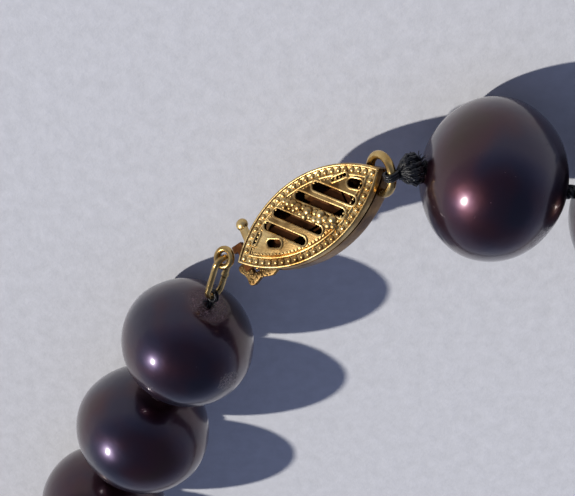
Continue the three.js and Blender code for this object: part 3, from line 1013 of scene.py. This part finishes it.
def build_pearls():
    """Builds every pearl, and gives each one's centre, axis, radius and half length."""
    tree = pearl_tree()
    frames = {}
    hook_point = Vector(joint("hook_knot")["pos_m"])
    for i in range(1, PEARL_COUNT + 1):
        node = f"pearl_{i:02d}"
        centre, axis, radius, half = pearl_frame(node)
        before = frames[i - 1][0] if i > 1 else hook_point
        if (centre - before).dot(axis) < 0:
            axis = -axis
        frames[i] = (centre, axis, radius, half)
        host = new_mesh("seed", [(0, 0, 0)], [])
        values = {"Radius": radius, "Half length": half, "Own colour": (i * 0.618) % 1.0,
                  "Bore": BORE_RADIUS, "Finish": NACRE}
        mesh = run_tree(tree, host, values, node + "_nacre")
        side = Vector((0, 0, 1)).cross(axis).normalized()
        place = Matrix((side, axis.cross(side), axis)).transposed().to_4x4()
        marks = [((0, 0, 1), WEAR_EDGE), ((0, 0, -1), WEAR_EDGE if i > 1 else WIDE_WEAR_EDGE)]
        if i in FLAWS:
            marks.append((place.to_3x3().inverted() @ Vector(FLAWS[i]), WEAR_EDGE))
        wear_marks(mesh, marks)
        place.translation = centre
        finish_piece(node + "_nacre", mesh, None, node, [node], place)
    return frames


pearls = build_pearls()


def drill_hole(i, end):
    """The mouth of a pearl's drill hole: end is 1 towards the next pearl, and -1 away from it."""
    centre, axis, _, half = pearls[i]
    return centre + axis * half * end * MM


# ---- the silk ----
STRAND_RADIUS = 0.2           # the doubled silk between two pearls
STRAND_REACH = 0.75           # from a small knot into the drill holes
KNOT_SIZE = 0.38
OPEN_KNOT_SIZE = 0.28         # the open knot: smaller, shorter and nearer its own pearl
OPEN_KNOT_REACH = 0.2
OPEN_KNOT_SHIFT = 0.13
END_STRANDS = 18              # strands that the frayed end knot gathers
END_SPREAD = 1.18
RING_LOOP = (0.52, 0.1)       # radius of the loops round the ring, and of their thread
LINK_LOOP = (0.43, 0.09)      # the same round the link


def trefoil(size, count=72):
    """The path of a simple overhand knot, drawn tight, about Z."""
    t = np.linspace(0, 2 * math.pi, count, endpoint=False)
    x = np.sin(t) + 2 * np.sin(2 * t)
    y = np.cos(t) - 2 * np.cos(2 * t)
    z = -1.3 * np.sin(3 * t)
    return np.stack([x, y, z], 1) * size / 3


def small_knot(size, reach):
    knot = tube(trefoil(size), STRAND_RADIUS, 7, True)
    thread = tube([(0, 0, -STRAND_REACH), (0, 0, 0), (0, 0, reach)], STRAND_RADIUS, 7)
    return merge("small_knot", [knot, thread])


def build_small_knots():
    for i in range(1, PEARL_COUNT):
        start, end = drill_hole(i, 1), drill_hole(i + 1, -1)
        middle = (start + end) / 2
        along = (end - start).normalized()
        side = along.orthogonal().normalized()
        place = Matrix((side, along.cross(side), along)).transposed().to_4x4()
        place.translation = middle
        knot = small_knot(KNOT_SIZE, STRAND_REACH)
        if i == OPEN_KNOT:
            # the chain of joints ends here, so this knot keeps off the next pearl
            knot = small_knot(OPEN_KNOT_SIZE, OPEN_KNOT_REACH)
            place.translation = middle - along * OPEN_KNOT_SHIFT * MM
        knot.transform(Matrix.Rotation(i * 1.9, 4, "Z"))
        finish_piece(f"silk_knot_{i:02d}", smooth(knot, 80), SILK_BLACK, f"pearl_{i:02d}",
                     (), place)


def plied(path, radius, plies, turns, sides=6):
    """A twisted cord along a path: a few plies wound round it."""
    points = np.array(path, float)
    tangents = np.gradient(points, axis=0)
    tangents /= np.linalg.norm(tangents, axis=1)[:, None]
    normal = np.cross(tangents[0], (0.2, 0.9, 0.4))
    frames = []
    for t in tangents:
        normal = normal - t * normal.dot(t)
        normal /= np.linalg.norm(normal)
        frames.append((normal, np.cross(t, normal)))
    ply_radius = radius * 0.55
    out = []
    for ply in range(plies):
        line = []
        for i, p in enumerate(points):
            angle = 2 * math.pi * (ply / plies + turns * i / len(points))
            n, b = frames[i]
            line.append(p + ply_radius * (math.cos(angle) * n + math.sin(angle) * b))
        out.append(tube(line, ply_radius, sides))
    return out


def stray_fibres(count, start, spread, length, seed, thickness=0.022):
    """Fine broken filaments that stand off the silk."""
    rng = np.random.default_rng(seed)
    fibres = []
    for _ in range(count):
        direction = rng.normal(size=3)
        direction /= np.linalg.norm(direction)
        at = np.array(start) + direction * np.array(spread) * rng.uniform(0.75, 1.0)
        bend = rng.normal(size=3) * 0.5
        reach = length * rng.uniform(0.5, 1.2)
        path = [at + direction * reach * k / 5 + bend * reach * (k / 5) ** 2 * 0.6 for k in range(6)]
        fibres.append(tube(path, thickness, 4))
    return fibres


def end_knot_heart():
    """Two overhand knots of plied cord, over a solid heart."""
    meshes = []
    for turn, size in ((0.0, 0.62), (1.2, 0.56)):
        path = trefoil(size, 90)
        path = np.vstack([path, path[:1]])
        spin = Matrix.Rotation(turn, 3, (0.3, 1, 0.5))
        path = [np.array(spin @ Vector(p)) * np.array((0.9, 1.3, 1.3)) for p in path]
        meshes += plied(path, 0.27, 3, 16)
    meshes.append(ball(0.55, (0, 0, 0), (1.15, 1, 1), 16, 10))
    return meshes


def ring_threads(ring_at, hole_at):
    """The doubled thread round the ring, and the tail into the pearl."""
    meshes = []
    radius, thread = RING_LOOP
    for offset in (-0.16, 0.0, 0.17):
        loop = []
        for a in np.linspace(0, 2 * math.pi, 24, endpoint=False):
            loop.append((ring_at + radius * math.cos(a), offset + 0.06 * math.sin(2 * a),
                         radius * math.sin(a)))
        meshes.append(tube(loop, thread, 7, True))
    for k in range(4):
        angle = k * math.pi / 2
        y, z = 0.17 * math.cos(angle), 0.17 * math.sin(angle)
        meshes += plied([(ring_at + 0.5, y, z), (-0.3, y * 2, z * 2), (0.2, y * 2, z * 2),
                         (hole_at + 0.4, y, z)], 0.15, 2, 2)
    return meshes


def gathered_strands(ring_at, hole_at):
    """The strands that the knot gathers, from the ring to the pearl's face."""
    meshes = []
    for k in range(END_STRANDS):
        angle = k * 2.4
        y, z = math.cos(angle) * END_SPREAD, math.sin(angle) * END_SPREAD
        meshes += plied([(ring_at + 0.55, y * 0.22, z * 0.22), (-0.35, y * 0.6, z * 0.6),
                         (0.1, y * 0.86, z * 0.86), (hole_at * 0.6, y * 0.8, z * 0.8),
                         (hole_at - 0.02, y * 0.45, z * 0.45)], 0.17, 3, 1.5)
    return meshes


def build_end_knot():
    """The big frayed knot between the ring and the last pearl, with X towards the pearl."""
    low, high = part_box("silk_end_knot")
    centre = (low + high) / 2
    hole = drill_hole(PEARL_COUNT, 1)
    wire = Vector(joint("ring_knot")["pos_m"])
    along = (hole - wire).normalized()
    way = Vector((math.sin(RING_SILK_AT), math.cos(RING_SILK_AT), 0))
    side = CLASP.to_3x3() @ (Matrix.Rotation(RING_TILT, 3, "Y") @ way)
    side = (side - along * side.dot(along)).normalized()
    place = Matrix((along, side, along.cross(side))).transposed().to_4x4()
    place.translation = centre
    ring_at = -((centre - wire).length / MM)
    hole_at = (hole - centre).length / MM
    meshes = end_knot_heart() + ring_threads(ring_at, hole_at) + gathered_strands(ring_at, hole_at)
    meshes += stray_fibres(26, (0, 0, 0), (0.75, 0.9, 0.9), 0.3, 11)
    meshes += stray_fibres(70, (hole_at - 0.1, 0, 0), (0.1, 0.7, 0.7), 0.5, 23, 0.03)
    whole = merge("silk_end", meshes)
    finish_piece("silk_end_knot_frayed", smooth(whole, 80), SILK_BLACK, "pearl_40",
                 ["silk_end_knot", "ring_thread_loop"], place)


def build_link_thread():
    """The doubled thread from the link to the first pearl, with X towards the pearl."""
    hole = drill_hole(1, -1)
    end = Vector(joint("hook_knot")["pos_m"])
    along = (hole - end).normalized()
    face = CLASP.to_3x3().col[2]
    side = face.cross(along).normalized()
    place = Matrix((along, side, along.cross(side))).transposed().to_4x4()
    place.translation = end
    reach = (hole - end).length / MM
    radius, thread = LINK_LOOP
    angles = np.linspace(0, 2 * math.pi, 20, endpoint=False)
    meshes = []
    for offset in (-0.12, 0.1):
        loop = [(radius * math.cos(a), radius * math.sin(a), offset) for a in angles]
        meshes.append(tube(loop, thread, 7, True))
    for k in (-1, 1):
        line = [(0.42, 0.12 * k, 0), (reach * 0.7, 0.16 * k, 0.05), (reach + 0.5, 0.05 * k, 0)]
        meshes += plied(line, 0.16, 2, 2)
    meshes += stray_fibres(24, (reach - 0.05, 0, 0), (0.05, 0.3, 0.3), 0.35, 5)
    whole = merge("link_thread", meshes)
    finish_piece("link_thread", smooth(whole, 80), SILK_BLACK, "pearl_01",
                 ["link_thread_loop"], place)


build_small_knots()
build_end_knot()
build_link_thread()


# ---- the nodes whose own shape is right ----
# the tongue, leaf and catch bar lie mostly inside the box: their dark finish is tarnish with painted shade
for node in ("hook_tongue", "hook_spring_leaf", "clasp_catch_bar"):
    metal = frame["nodes"][node]
    metal.data.materials.clear()
    metal.data.materials.append(TARNISH_AND_PAINTED_SHADE)
